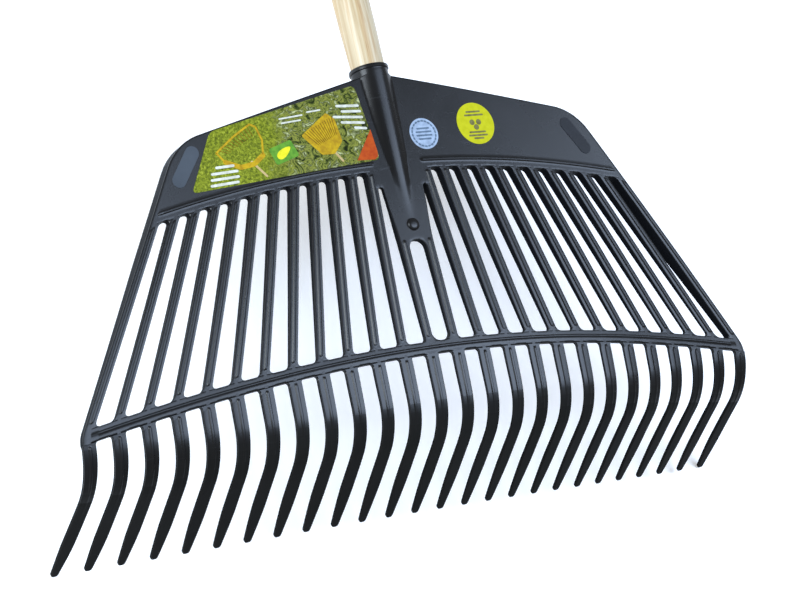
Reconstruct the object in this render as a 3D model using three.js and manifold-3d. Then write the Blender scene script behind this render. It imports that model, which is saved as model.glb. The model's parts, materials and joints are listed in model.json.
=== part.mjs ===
// Wide leaf rake: a fan-shaped plastic head with 26 curved tines on a long wooden handle.
// Millimetres. The head is laid out on a gently bowed sheet: x runs across the rake,
// y from the tines towards the handle, and depth is measured along the sheet's normal.
// The finished rake lies on its two outermost tine tips and the end of its handle.

import * as THREE from 'three';
import { mergeVertices } from 'three/addons/utils/BufferGeometryUtils.js';
import { TessellateModifier } from 'three/addons/modifiers/TessellateModifier.js';
import Module from 'manifold-3d';

const wasm = await Module();
wasm.setup();

// ---- Driving dimensions ----

const PITCH = 22.5; // between tines, at the crossbar
const TINE_COUNT = 26;
const HALF_SPAN = (PITCH * (TINE_COUNT - 1)) / 2; // centre line to outermost tine
const GAP = 0.35; // clearance between neighbouring pieces
const FAN_HEIGHT = 168.75; // height at which the bars are PITCH * FAN_SCALE apart
const FAN_SCALE = 0.637;
const FAN_TUCK = 7; // the outermost bars lean in by this much more

const BOW_BOTTOM = [35.4, 13.4]; // sheet's fall at the crossbar: square and fourth power terms
const BOW_TOP = [20.2, 11.7]; // the same at FAN_HEIGHT
const CROSSBAR_SWEEP = 25; // the crossbar's ends lie this much nearer the tips
const CROSSBAR_HEIGHT = 9.6;
const CROSSBAR_DEPTH = 3.6;

const BAR_WIDTH = 7.2;
const BAR_DEPTH = 2.9; // at the crossbar
const BAR_DEEPENING = 0.037; // growth of the depth towards the handle
const RIB_WIDTH = 2.6;
const RIB_HEIGHT = 0.8;
const SLOT_TOP = 134; // height of the slots' upper ends on the centre line
const SLOT_TOP_SWEEP = 40.3; // how much lower they would be at HALF_SPAN
const ARC_RIDGE_RISE = 6; // ridge above the slots

const PLATE_DEPTH = 3.2;
const TOP_EDGE = 211.6; // height of the upper edges on the centre line
const TOP_EDGE_SLOPE = 0.233;
const SIDE_EDGE = 270.9; // half width of the head at y = 0
const SIDE_EDGE_SLOPE = 0.564;
const WING_FOOT = 112; // height at which the side edge reaches the line of slot tops
const CORNER_REACH = 20; // length of each corner's rounding along both edges
const RIM_DEPTH = 14;
const RIM_DEPTH_LOW = 6.3; // where the rim meets the crossbar
const RIM_GROWTH = 0.0688;
const RIM_THICKNESS = 2.4;

const TONGUE_HALF = 14.4;
const TONGUE_FLARE = [76, 121, 17.6]; // starts to flare, ends its flare, half width there
const CENTRE_SLOT_TOP = 78.5;
const CENTRE_SLOT_HALF = 7.3;

const TINE_DEPTH = 2.5;
const TINE_HALF = [5.2, 4.8]; // half width at the crossbar and at the bend
const TINE_TIP_SCALE = 0.54;
const TINE_NARROWING = 0.7; // share of a tine's length after which it narrows to its tip
const TIP_BLUNTING = 0.55; // the tip's end face is this much smaller than the section behind it
const TINE_CORNER = 61.5; // the straight parts of a tine would meet this far below y = 0
const TINE_DIP = 4.4; // and this far below the sheet
const TINE_BEND_REACH = 23.5; // length of the bend along both straight parts
const TINE_TIP_REACH = [111.8, 4.6]; // tip of a middle tine, and how much less the outermost
const TINE_DROP = [77, 16.2]; // fall from corner to tip, and how much more the outermost
const TINE_ROOT_SHIFT = 2.3; // the outermost tines start this much further out than their bars
const TINE_SPLAY = [9.2, 4.3]; // sideways lean of the tips: cubic term, less a linear term

const AXIS_DEPTH = 7.2; // handle axis below the sheet
const SOCKET_TOP = 217;
const SOCKET_END = 96;
const SOCKET_FLOOR = 126; // bottom of the hole for the handle
const SOCKET_RADIUS = 14.8;
const SOCKET_END_RADIUS = 7;
const LIP_RADIUS = 15.4;
const LIP_HEIGHT = 3.4;
const BORE_RADIUS = 13.5;
const BORE_END_RADIUS = 6.7;

const HANDLE_LENGTH = 1500;
const HANDLE_RADIUS = 14;
const HANDLE_TIP_RADIUS = 6.3;
const HANDLE_MOUTH_RADIUS = 13.1;
const HANDLE_TAPER = 50; // visible taper above the socket
const HANDLE_FLAT_RADIUS = 9; // flat middle of the far end

const SCREW_Y = 200;
const SCREW_RADIUS = 2;
const SCREW_LENGTH = 14;
const SCREW_HEAD_RADIUS = 4;
const SCREW_HEAD_HEIGHT = 2.4;

const DOME_Y = 90;
const DOME_RADIUS = 4.4;
const LABEL_DEPTH = 0.3;
const ROUND_STEPS = 28;
const SHEET_EDGE = 60; // longest straight edge on the bowed pieces

const PLASTIC = { color: 0x33383d, roughness: 0.42, metalness: 0 };
const WOOD = { color: 0xdcc08a, roughness: 0.55, metalness: 0 };
const STEEL = { color: 0xb4b6b8, roughness: 0.3, metalness: 1 };
const GREEN_FILM = { color: 0x7d8a2c, roughness: 0.3, metalness: 0 };
const SILVER_FILM = { color: 0xb7c6d6, roughness: 0.3, metalness: 0.2 };
const YELLOW_FILM = { color: 0xe6d81e, roughness: 0.3, metalness: 0 };

// ---- The bowed sheet ----

const lerp = THREE.MathUtils.lerp;
const clamp = THREE.MathUtils.clamp;

function sheetHeight(x, y) {
  const across = (x / HALF_SPAN) ** 2;
  const up = y / FAN_HEIGHT;
  const fall = lerp(BOW_BOTTOM[0], BOW_TOP[0], up) * across;
  return lerp(BOW_BOTTOM[1], BOW_TOP[1], up) * across ** 2 - fall;
}

function sheetNormal(x, y) {
  const slopeX = (sheetHeight(x + 0.5, y) - sheetHeight(x - 0.5, y));
  const slopeY = (sheetHeight(x, y + 0.5) - sheetHeight(x, y - 0.5));
  return new THREE.Vector3(-slopeX, -slopeY, 1).normalize();
}

function onSheet(x, y, height) {
  const point = new THREE.Vector3(x, y, sheetHeight(x, y));
  return point.addScaledVector(sheetNormal(x, y), height);
}

function crossbarTop(x) {
  return -CROSSBAR_SWEEP * (x / HALF_SPAN) ** 2;
}

function slotTop(x) {
  return SLOT_TOP - SLOT_TOP_SWEEP * (x / HALF_SPAN) ** 2;
}

function sideEdge(y) {
  return SIDE_EDGE - SIDE_EDGE_SLOPE * y;
}

function topEdge(x) {
  return TOP_EDGE - TOP_EDGE_SLOPE * x;
}

function barDepth(y) {
  return BAR_DEPTH + BAR_DEEPENING * y;
}

function rimDepth(y) {
  return clamp(RIM_DEPTH_LOW + RIM_GROWTH * (y + CROSSBAR_SWEEP), RIM_DEPTH_LOW, RIM_DEPTH);
}

// ---- Solids ----

function bare(geometry) {
  for (const name of ['normal', 'uv', 'uv1']) geometry.deleteAttribute(name);
  return mergeVertices(geometry, 1e-3);
}

function signedVolume(geometry) {
  const index = geometry.getIndex();
  const position = geometry.getAttribute('position');
  const corner = (i) => new THREE.Vector3().fromBufferAttribute(position, index.getX(i));
  let total = 0;
  for (let i = 0; i < index.count; i += 3) {
    total += corner(i).dot(corner(i + 1).cross(corner(i + 2)));
  }
  return total / 6;
}

// Moves every vertex through place(x, y, z), and turns the faces out where that mirrored them.
function mapped(geometry, place) {
  const result = bare(geometry);
  const position = result.getAttribute('position');
  for (let i = 0; i < position.count; i++) {
    const point = place(position.getX(i), position.getY(i), position.getZ(i));
    position.setXYZ(i, point.x, point.y, point.z);
  }
  if (signedVolume(result) < 0) result.setIndex([...result.getIndex().array].reverse());
  return result;
}

function solid(geometry) {
  const merged = bare(geometry);
  const vertProperties = new Float32Array(merged.getAttribute('position').array);
  const triVerts = new Uint32Array(merged.getIndex().array);
  return new wasm.Manifold(new wasm.Mesh({ numProp: 3, vertProperties, triVerts }));
}

function geometryOf(manifold) {
  const mesh = manifold.getMesh();
  const geometry = new THREE.BufferGeometry();
  geometry.setAttribute('position', new THREE.BufferAttribute(mesh.vertProperties, 3));
  geometry.setIndex(new THREE.BufferAttribute(mesh.triVerts, 1));
  return geometry;
}

// A section, given as [across, depth] points, carried along in a number of steps.
function swept(section, steps, place) {
  const shape = new THREE.Shape(section.map(([a, b]) => new THREE.Vector2(a, b)));
  const options = { depth: 1, steps, bevelEnabled: false };
  return mapped(new THREE.ExtrudeGeometry(shape, options), place);
}

// A flat outline laid on the sheet, between two heights.
function laidOut(shape, low, high) {
  const options = { depth: high - low, bevelEnabled: false, curveSegments: 10 };
  const flat = new THREE.ExtrudeGeometry(shape, options).translate(0, 0, low);
  flat.deleteAttribute('normal');
  flat.deleteAttribute('uv');
  return mapped(new TessellateModifier(SHEET_EDGE, 8).modify(flat), onSheet);
}

function turned(profile, y = 0, z = 0) {
  const points = profile.map(([radius, height]) => new THREE.Vector2(radius, height));
  return new THREE.LatheGeometry(points, ROUND_STEPS).translate(0, y, z);
}

const rake = new THREE.Group();

function addMesh(name, geometry, finish) {
  const mesh = new THREE.Mesh(geometry, new THREE.MeshStandardMaterial(finish));
  mesh.name = name;
  rake.add(mesh);
  return mesh;
}

const twoDigits = (number) => String(number).padStart(2, '0');

// ---- Handle, socket and screw ----

function socketRadius(y) {
  const along = (y - SOCKET_END) / (SOCKET_TOP - SOCKET_END);
  return lerp(SOCKET_END_RADIUS, SOCKET_RADIUS, along);
}

function socketBody(clearance) {
  const lipFoot = SOCKET_TOP - LIP_HEIGHT;
  return [
    [0, SOCKET_END - clearance],
    [SOCKET_END_RADIUS + clearance, SOCKET_END - clearance],
    [socketRadius(lipFoot) + clearance, lipFoot - clearance],
    [LIP_RADIUS + clearance, lipFoot - clearance],
    [LIP_RADIUS + clearance, SOCKET_TOP + clearance],
  ];
}

function shank(radius) {
  const top = SOCKET_TOP; // long enough to reach outside on one side
  return new THREE.CylinderGeometry(radius, radius, top, ROUND_STEPS / 2)
    .rotateX(Math.PI / 2)
    .translate(0, SCREW_Y, -AXIS_DEPTH + SCREW_RADIUS - top / 2);
}

function addSocket() {
  const bore = [[BORE_RADIUS, SOCKET_TOP], [BORE_END_RADIUS, SOCKET_FLOOR], [0, SOCKET_FLOOR]];
  const tube = turned([...socketBody(0), ...bore], 0, -AXIS_DEPTH);
  addMesh('socket', geometryOf(solid(tube).subtract(solid(shank(SCREW_RADIUS + GAP)))), PLASTIC);
}

function addHandle() {
  const tip = SOCKET_FLOOR + 2;
  const end = tip + HANDLE_LENGTH;
  const profile = [
    [0, tip],
    [HANDLE_TIP_RADIUS, tip],
    [HANDLE_MOUTH_RADIUS, SOCKET_TOP],
    [HANDLE_RADIUS, SOCKET_TOP + HANDLE_TAPER],
    [HANDLE_RADIUS, end - 7],
    [HANDLE_RADIUS - 1.4, end - 2.6],
    [HANDLE_FLAT_RADIUS, end],
    [0, end],
  ];
  const stick = solid(turned(profile, 0, -AXIS_DEPTH));
  addMesh('handle', geometryOf(stick.subtract(solid(shank(SCREW_RADIUS + GAP)))), WOOD);
}

function addScrew() {
  const seat = AXIS_DEPTH + socketRadius(SCREW_Y) + GAP;
  const profile = [
    [0, 0],
    [SCREW_RADIUS, 0],
    [SCREW_RADIUS, SCREW_LENGTH],
    [SCREW_HEAD_RADIUS, SCREW_LENGTH],
    [SCREW_HEAD_RADIUS, SCREW_LENGTH + SCREW_HEAD_HEIGHT / 2],
    [SCREW_HEAD_RADIUS / 2, SCREW_LENGTH + SCREW_HEAD_HEIGHT],
    [0, SCREW_LENGTH + SCREW_HEAD_HEIGHT],
  ];
  const screw = turned(profile).rotateX(-Math.PI / 2).translate(0, SCREW_Y, SCREW_LENGTH - seat);
  addMesh('handle_screw', screw, STEEL);
}

const socketRoom = solid(turned([...socketBody(GAP), [0, SOCKET_TOP + GAP]], 0, -AXIS_DEPTH));

// ---- Bars and rails between the plate and the crossbar ----

function barCentre(place, y) {
  const foot = crossbarTop(place);
  const top = place * FAN_SCALE - FAN_TUCK * (place / HALF_SPAN) ** 3;
  return lerp(place, top, (y - foot) / (FAN_HEIGHT - foot));
}

// Section depths: 0 is the outer face, -1 the back of the bars, -2 the foot of the rim.
function heightFor(level, y) {
  if (level > 0) return level;
  return level < -1 ? -rimDepth(y) : level * barDepth(y);
}

// Where a bar's centre line meets the slots' upper ends.
function barTop(place) {
  let y = SLOT_TOP;
  for (let i = 0; i < 4; i++) y = slotTop(barCentre(place, y));
  return barCentre(place, y);
}

function alongBar(place) {
  return (across, level, along) => {
    const low = crossbarTop(place + across) + GAP;
    const high = slotTop(barTop(place) + across) - GAP;
    const y = lerp(low, high, along);
    return onSheet(barCentre(place, y) + across, y, heightFor(level, y));
  };
}

function ribbedSection(under) {
  const half = BAR_WIDTH / 2;
  const rib = RIB_WIDTH / 2;
  const face = [[half, 0], [rib, 0], [rib / 2, RIB_HEIGHT], [-rib / 2, RIB_HEIGHT], [-rib, 0], [-half, 0]];
  return [...under, ...face];
}

function addBar(name, place) {
  const half = BAR_WIDTH / 2;
  addMesh(name, swept(ribbedSection([[-half, -1], [half, -1]]), 5, alongBar(place)), PLASTIC);
}

function addRail(name, side) {
  const half = BAR_WIDTH / 2;
  const inner = half - RIM_THICKNESS;
  const under = [[-half, -1], [inner, -1], [inner, -2], [half, -2]];
  const place = alongBar(HALF_SPAN);
  const mirrored = (a, b, c) => place(a, b, c).multiply(new THREE.Vector3(side, 1, 1));
  addMesh(name, swept(ribbedSection(under), 8, mirrored), PLASTIC);
}

// ---- Plate wings and tongue ----

function cornerPoint() {
  const x = (SIDE_EDGE - SIDE_EDGE_SLOPE * TOP_EDGE) / (1 - SIDE_EDGE_SLOPE * TOP_EDGE_SLOPE);
  return new THREE.Vector2(x, topEdge(x));
}

// The wing's outer edge: up the side, round the corner and along the top to the socket.
function wingEdge(foot) {
  const corner = cornerPoint();
  const sideFoot = new THREE.Vector2(sideEdge(foot), foot);
  const topInner = new THREE.Vector2(0, TOP_EDGE);
  const toSide = sideFoot.clone().sub(corner).setLength(CORNER_REACH).add(corner);
  const toTop = topInner.clone().sub(corner).setLength(CORNER_REACH).add(corner);
  const edge = new THREE.CurvePath();
  edge.add(new THREE.LineCurve(sideFoot, toSide));
  edge.add(new THREE.QuadraticBezierCurve(toSide, corner, toTop));
  edge.add(new THREE.LineCurve(toTop, topInner));
  return edge;
}

function wingShape() {
  const lower = [];
  for (let i = 0; i <= 12; i++) {
    const x = (sideEdge(WING_FOOT) * i) / 12;
    lower.push(new THREE.Vector2(x, slotTop(x)));
  }
  return new THREE.Shape([...lower, ...wingEdge(WING_FOOT).getPoints(8).slice(1)]);
}

function rim() {
  const edge = wingEdge(WING_FOOT + RIM_THICKNESS);
  const section = [[0, -0.1], [RIM_THICKNESS, -0.1], [RIM_THICKNESS, -RIM_DEPTH], [0, -RIM_DEPTH]];
  return swept(section, 20, (inward, height, along) => {
    const point = edge.getPointAt(along);
    const tangent = edge.getTangentAt(along);
    return onSheet(point.x - tangent.y * inward, point.y + tangent.x * inward, height);
  });
}

function arcRidge(from, to) {
  const half = RIB_WIDTH / 2;
  const section = [[-half, -0.5], [half, -0.5], [half / 2, RIB_HEIGHT], [-half / 2, RIB_HEIGHT]];
  return swept(section, 12, (across, height, along) => {
    const x = lerp(from, to, along);
    return onSheet(x, slotTop(x) + ARC_RIDGE_RISE + across, height);
  });
}

function addWing(name, side) {
  const plate = solid(laidOut(wingShape(), -PLATE_DEPTH, 0));
  const wing = plate.add(solid(rim())).add(solid(arcRidge(PITCH, sideEdge(WING_FOOT) - 8)));
  const mirror = (x, y, z) => new THREE.Vector3(side * x, y, z);
  addMesh(name, mapped(geometryOf(wing.subtract(socketRoom)), mirror), PLASTIC);
}

function tongueShape() {
  const [flareFrom, flareTo, flareHalf] = TONGUE_FLARE;
  const shoulder = barCentre(1.5 * PITCH, flareTo) - BAR_WIDTH / 2 - GAP;
  const top = slotTop(0) - GAP;
  const topHalf = barCentre(1.5 * PITCH, top) - BAR_WIDTH / 2 - GAP;
  const foot = crossbarTop(0) + GAP;
  const outer = [
    [TONGUE_HALF, foot],
    [TONGUE_HALF, flareFrom],
    [flareHalf, flareTo],
    [shoulder, flareTo + 2],
    [topHalf, top],
  ];
  const shape = new THREE.Shape();
  shape.moveTo(CENTRE_SLOT_HALF, foot);
  for (const [x, y] of outer) shape.lineTo(x, y);
  for (const [x, y] of [...outer].reverse()) shape.lineTo(-x, y);
  shape.lineTo(-CENTRE_SLOT_HALF, foot);
  shape.lineTo(-CENTRE_SLOT_HALF, CENTRE_SLOT_TOP - CENTRE_SLOT_HALF);
  shape.absarc(0, CENTRE_SLOT_TOP - CENTRE_SLOT_HALF, CENTRE_SLOT_HALF, Math.PI, 0, true);
  shape.closePath();
  return shape;
}

function addTongue() {
  const plate = solid(laidOut(tongueShape(), -PLATE_DEPTH, 0));
  const dome = new THREE.SphereGeometry(DOME_RADIUS, 12, 8).translate(0, DOME_Y, -DOME_RADIUS / 3);
  addMesh('tongue', geometryOf(plate.add(solid(dome)).subtract(socketRoom)), PLASTIC);
}

// ---- Crossbar and tines ----

function addCrossbar() {
  const mid = -CROSSBAR_HEIGHT / 2;
  const half = RIB_WIDTH / 2;
  const section = [
    [0, 0],
    [0, -CROSSBAR_DEPTH],
    [-CROSSBAR_HEIGHT, -CROSSBAR_DEPTH],
    [-CROSSBAR_HEIGHT, 0],
    [mid - half, 0],
    [mid - half / 2, RIB_HEIGHT],
    [mid + half / 2, RIB_HEIGHT],
    [mid + half, 0],
  ];
  const end = HALF_SPAN + TINE_HALF[0];
  const place = (down, height, along) => {
    const x = lerp(-end, end, along);
    return onSheet(x, crossbarTop(x) + down, height);
  };
  addMesh('crossbar', swept(section, 28, place), PLASTIC);
}

// A tine's outer line, seen from the side: out along the sheet, a smooth bend, and down.
function tineLine(place) {
  const spread = (place / HALF_SPAN) ** 2;
  const at = (y) => new THREE.Vector2(y, sheetHeight(place, y));
  const start = at(crossbarTop(place) - CROSSBAR_HEIGHT - GAP - 0.1);
  const corner = at(-TINE_CORNER).sub(new THREE.Vector2(0, TINE_DIP));
  const reach = TINE_TIP_REACH[0] - TINE_TIP_REACH[1] * spread;
  const tip = new THREE.Vector2(-reach, corner.y - TINE_DROP[0] - TINE_DROP[1] * spread);
  const bendStart = start.clone().sub(corner).setLength(TINE_BEND_REACH).add(corner);
  const bendEnd = tip.clone().sub(corner).setLength(TINE_BEND_REACH).add(corner);
  const line = new THREE.CurvePath();
  line.add(new THREE.LineCurve(start, bendStart));
  line.add(new THREE.QuadraticBezierCurve(bendStart, corner, bendEnd));
  line.add(new THREE.LineCurve(bendEnd, tip));
  return line;
}

function tineHalf(along) {
  const narrowing = Math.max(0, (along - TINE_NARROWING) / (1 - TINE_NARROWING)) ** 1.4;
  const half = lerp(...TINE_HALF, THREE.MathUtils.smoothstep(along, 0, 0.35));
  return half * lerp(1, TINE_TIP_SCALE, narrowing);
}

function addTine(name, place) {
  const line = tineLine(place);
  const side = place / HALF_SPAN;
  const lean = TINE_SPLAY[0] * side ** 3 - TINE_SPLAY[1] * side;
  const section = [[-1, -1], [1, -1], [1, -0.2], [0.85, 0], [-0.85, 0], [-1, -0.2]];
  const tine = swept(section, 12, (across, level, along) => {
    const point = line.getPointAt(along);
    const tangent = line.getTangentAt(along);
    const blunt = along > 0.99 ? TIP_BLUNTING : 1;
    const inward = TINE_DEPTH * (level * blunt + (blunt - 1) / 2);
    const offset = across * tineHalf(along);
    const x = place + TINE_ROOT_SHIFT * side + lean * along ** 2 + offset * blunt;
    const skew = (crossbarTop(x) - crossbarTop(place)) * Math.max(0, 1 - 8 * along);
    return new THREE.Vector3(x, point.x + skew + tangent.y * inward, point.y - tangent.x * inward);
  });
  addMesh(name, tine, PLASTIC);
}

// ---- Labels ----

function roundedOutline(corners, radius) {
  const shape = new THREE.Shape();
  corners.forEach(([x, y], n) => {
    const corner = new THREE.Vector2(x, y);
    const towards = (other) => new THREE.Vector2(...other).sub(corner).setLength(radius).add(corner);
    const before = towards(corners.at(n - 1));
    const after = towards(corners[(n + 1) % corners.length]);
    if (n === 0) shape.moveTo(before.x, before.y);
    else shape.lineTo(before.x, before.y);
    shape.quadraticCurveTo(x, y, after.x, after.y);
  });
  shape.closePath();
  return shape;
}

function addRoundLabel(name, x, y, radius, finish) {
  const shape = new THREE.Shape();
  shape.absarc(x, y, radius, 0, 2 * Math.PI);
  addMesh(name, laidOut(shape, GAP, GAP + LABEL_DEPTH), finish);
}

function addLabels() {
  const corners = [[-20.5, 203], [-147, 176.6], [-171, 131.6], [-13.6, 142.6]];
  addMesh('picture_label', laidOut(roundedOutline(corners, 5), GAP, GAP + LABEL_DEPTH), GREEN_FILM);
  addRoundLabel('yellow_label', 78.2, 165.2, 16.8, YELLOW_FILM);
  addRoundLabel('silver_label', 29.6, 160.1, 12.4, SILVER_FILM);
}

// ---- Assembly ----

function addRepeated() {
  for (let n = 1; n <= TINE_COUNT; n++) {
    const place = PITCH * (n - 1) - HALF_SPAN;
    const inRail = n === 1 || n === TINE_COUNT;
    const inTongue = Math.abs(place) < PITCH;
    if (!inRail && !inTongue) addBar(`bar_${twoDigits(n)}`, place);
    addTine(`tine_${twoDigits(n)}`, place);
  }
}

function lowestOf(mesh) {
  mesh.updateWorldMatrix(true, false);
  return new THREE.Box3().setFromObject(mesh, true).min.z;
}

// Tilts the rake until the outermost tips and the handle's end touch the ground together.
function layOnGround() {
  const tine = rake.getObjectByName('tine_01');
  const handle = rake.getObjectByName('handle');
  let low = -0.2;
  let high = 0;
  for (let i = 0; i < 40; i++) {
    const tilt = (low + high) / 2;
    rake.rotation.x = tilt;
    if (lowestOf(handle) < lowestOf(tine)) low = tilt;
    else high = tilt;
  }
  const box = new THREE.Box3().setFromObject(rake, true);
  rake.position.set(0, -(box.min.y + box.max.y) / 2, -box.min.z);
}

addSocket();
addHandle();
addScrew();
addTongue();
addWing('wing_left', -1);
addWing('wing_right', 1);
addRail('rail_left', -1);
addRail('rail_right', 1);
addCrossbar();
addLabels();
addRepeated();
layOnGround();

const assembly = new THREE.Group();
assembly.add(rake);

export default assembly;
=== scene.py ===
"""Looks of a wide leaf rake: one moulded plastic head, its labels, a wooden handle and its screw.

The head is laid out in its own frame, in millimetres: x across the rake, y from the tines
towards the handle, and heights along the normal of a gently bowed sheet.
"""

import json
import math

import bmesh
import bpy
import numpy as np
from mathutils import Matrix, Vector


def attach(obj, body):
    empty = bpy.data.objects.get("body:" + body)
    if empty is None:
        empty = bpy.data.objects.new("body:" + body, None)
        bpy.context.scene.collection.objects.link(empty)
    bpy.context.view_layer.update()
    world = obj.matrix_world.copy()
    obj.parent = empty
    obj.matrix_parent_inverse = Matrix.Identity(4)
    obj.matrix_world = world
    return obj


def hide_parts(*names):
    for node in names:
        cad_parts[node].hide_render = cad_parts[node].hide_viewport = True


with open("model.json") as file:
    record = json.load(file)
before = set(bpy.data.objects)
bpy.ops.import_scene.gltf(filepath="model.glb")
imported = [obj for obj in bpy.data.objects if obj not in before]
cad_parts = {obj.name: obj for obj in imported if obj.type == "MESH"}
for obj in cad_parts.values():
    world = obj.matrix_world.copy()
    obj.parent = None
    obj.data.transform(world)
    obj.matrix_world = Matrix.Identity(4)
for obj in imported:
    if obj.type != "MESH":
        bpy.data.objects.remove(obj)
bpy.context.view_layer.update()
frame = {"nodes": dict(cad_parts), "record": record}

# ---- Dimensions in millimetres ----

PITCH = 22.5
BARS = 26
HALF_SPAN = PITCH * (BARS - 1) / 2
FAN_HEIGHT, FAN_SCALE, FAN_TUCK = 168.75, 0.637, 7.0
BOW_LOW, BOW_HIGH = (13.4, 35.4), (11.7, 20.2)
CROSSBAR_SWEEP, CROSSBAR_HEIGHT, CROSSBAR_DEPTH = 25.0, 9.6, 3.6
BAR_HALF, BAR_DEPTH, BAR_GROWTH = 3.6, 2.9, 0.037
SLOT_TOP, SLOT_TOP_SWEEP = 134.0, 40.3
TOP_EDGE, TOP_EDGE_SLOPE = 211.6, 0.233
SIDE_EDGE, SIDE_EDGE_SLOPE = 270.9, 0.564
SIDE_LIMIT, SIDE_BLEND = 288.0, 3.0
CORNER_RADIUS = 45.0
PLATE_DEPTH = 3.2
RIM_DEPTH, RIM_DEPTH_LOW, RIM_GROWTH = 14.0, 6.3, 0.0688
RIM_WIDTH, TOP_RIM_WIDTH = 2.05, 2.4
TONGUE_HALF, TONGUE_FLARE_FROM = 14.4, 76.0
TONGUE_SLOT_TOP, TONGUE_TOP_HALF, TONGUE_EDGE_HALF = 121.0, 17.6, 12.5
CENTRE_SLOT_TOP, CENTRE_SLOT_HALF = 78.5, 7.3
TINE_DEPTH, TINE_DIP = 2.5, 4.4
TINE_ROOT_HALF, TINE_HALF = 5.2, 4.8
TINE_TIP_SCALE, TINE_NARROWING = 0.54, 0.7
TINE_EDGE_RADIUS, TINE_RIB_END = 1.3, 22.0
TINE_CORNER, TINE_BEND_REACH = 61.5, 23.5
TINE_REACH, TINE_REACH_LOSS = 111.8, 4.6
TINE_DROP, TINE_DROP_GAIN = 77.0, 16.2
TINE_SPLAY, TINE_SPLAY_LOSS = 9.2, 4.3
ROOT_LEAN = 0.424
RIB_HALF, RIB_HEIGHT = 1.4, 0.75
RIB_START, RIB_STOP, CENTRE_RIB_STOP = 4.4, 3.4, 1.2
RIDGE_DOWN, RIDGE_HALF, RIDGE_END = 4.4, 1.25, 12.35 * PITCH
ARC_RIDGE_UP, ARC_RIDGE_HEIGHT, ARC_RIDGE_END = 5.9, 0.9, 8.8 * PITCH
ARC_RIDGE_LEFT, ARC_RIDGE_RIGHT = -0.95 * PITCH, 0.99 * PITCH
EDGE_RADIUS, GAP_EDGE_RADIUS = 0.7, 1.8
AXIS_DEPTH = 7.2
SOCKET_TOP, SOCKET_END = 217.0, 96.0
SOCKET_RADIUS, SOCKET_END_RADIUS = 14.8, 7.0
LIP_RADIUS, LIP_HEIGHT = 15.4, 3.4
HANDLE_TIP, HANDLE_END = 128.0, 1628.0
HANDLE_RADIUS, HANDLE_MOUTH_RADIUS, HANDLE_FLAT_RADIUS = 14.0, 13.1, 9.0
HANDLE_TIP_RADIUS, HANDLE_TAPER, HANDLE_ROUND = 6.3, 50.0, 7.0
SCREW_Y, SCREW_HEAD_RADIUS, SCREW_HEAD_HEIGHT, SCREW_SHANK_RADIUS = 200.0, 4.0, 2.4, 2.0
DOME_Y, DOME_RADIUS, DOME_HEIGHT = 90.0, 4.6, 2.0
FILM_FOOT, FILM_FACE, INK = 0.03, 0.2, 0.06
SHARP_ANGLE = math.radians(35)

# Where features run out, and over how long.
SLOT_FADE, SHORT_SLOT_FADE = 9, 14
TUBE_FROM, TUBE_BLEND, TUBE_BLEND_REACH = 60, (0.8, 6.0), 80
BAR_TAIL, CENTRE_TAIL_FROM, CENTRE_TAIL, CENTRE_HALF = 12, 79, 30, 22
TINE_RIB_START, TINE_RIB_FADE, BEAD_STEEPNESS = 3.4, 50, 1.35

# The open centre slot lies between bars 12 and 13, and a shorter slot follows on either side.
CENTRE_BARS, CENTRE_SLOT, TONGUE_SLOTS = (12, 13), 12, (11, 13)

# ---- The head's frame in the row's frame ----

mount = frame["record"]["mounts"][0]
along = Vector(mount["axis"]).normalized()
across = Vector((1, 0, 0))
outward = across.cross(along)
origin = Vector(mount["pos_m"]) - along * HANDLE_END / 1000 + outward * AXIS_DEPTH / 1000
TURN = np.array([across, along, outward])
ORIGIN = np.array(origin)


def to_row(points):
    """Head frame in millimetres to the row frame in metres."""
    return np.asarray(points, dtype=float) @ TURN / 1000 + ORIGIN


# ---- The bowed sheet and the outlines on it ----


def mix(a, b, t):
    return a + (b - a) * t


def smooth(t):
    t = np.clip(t, 0, 1)
    return t * t * (3 - 2 * t)


def blend_over(low, high, width):
    """The larger of two values, with a soft change from one to the other."""
    part = np.maximum(width - np.abs(low - high), 0) / width
    return np.maximum(low, high) + part**2 * width / 4


def sheet_height(x, y):
    u2 = (x / HALF_SPAN) ** 2
    quartic, square = (mix(low, high, y / FAN_HEIGHT) for low, high in zip(BOW_LOW, BOW_HIGH))
    return quartic * u2**2 - square * u2


def sheet_normal(x, y):
    dx = sheet_height(x + 0.5, y) - sheet_height(x - 0.5, y)
    dy = sheet_height(x, y + 0.5) - sheet_height(x, y - 0.5)
    n = np.stack([-dx, -dy, np.ones_like(dx)], axis=-1)
    return n / np.linalg.norm(n, axis=-1, keepdims=True)


def on_sheet(x, y, height):
    x, y, height = np.broadcast_arrays(*(np.asarray(v, dtype=float) for v in (x, y, height)))
    base = np.stack([x, y, sheet_height(x, y)], axis=-1)
    return base + sheet_normal(x, y) * height[..., None]


def crossbar_top(x):
    return -CROSSBAR_SWEEP * (x / HALF_SPAN) ** 2


def crossbar_foot(x):
    return crossbar_top(x) - CROSSBAR_HEIGHT


def slot_top(x):
    return SLOT_TOP - SLOT_TOP_SWEEP * (x / HALF_SPAN) ** 2


def side_edge(y):
    """The head's half width: a straight side that rounds into the outermost tine."""
    return -blend_over(SIDE_EDGE_SLOPE * y - SIDE_EDGE, -SIDE_LIMIT, SIDE_BLEND)


def bar_centre(place, y):
    foot = crossbar_top(place)
    top = place * FAN_SCALE - FAN_TUCK * (place / HALF_SPAN) ** 3
    rise = y - foot
    return mix(place, top, np.where(rise < 0, rise * ROOT_LEAN, rise) / (FAN_HEIGHT - foot))


def tongue_half(y):
    flare = smooth((y - TONGUE_FLARE_FROM) / (TONGUE_SLOT_TOP - TONGUE_FLARE_FROM))
    narrowing = np.clip((y - TONGUE_SLOT_TOP) / (TOP_EDGE - TONGUE_SLOT_TOP), 0, 1)
    return mix(mix(TONGUE_HALF, TONGUE_TOP_HALF, flare), TONGUE_EDGE_HALF, narrowing)


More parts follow.
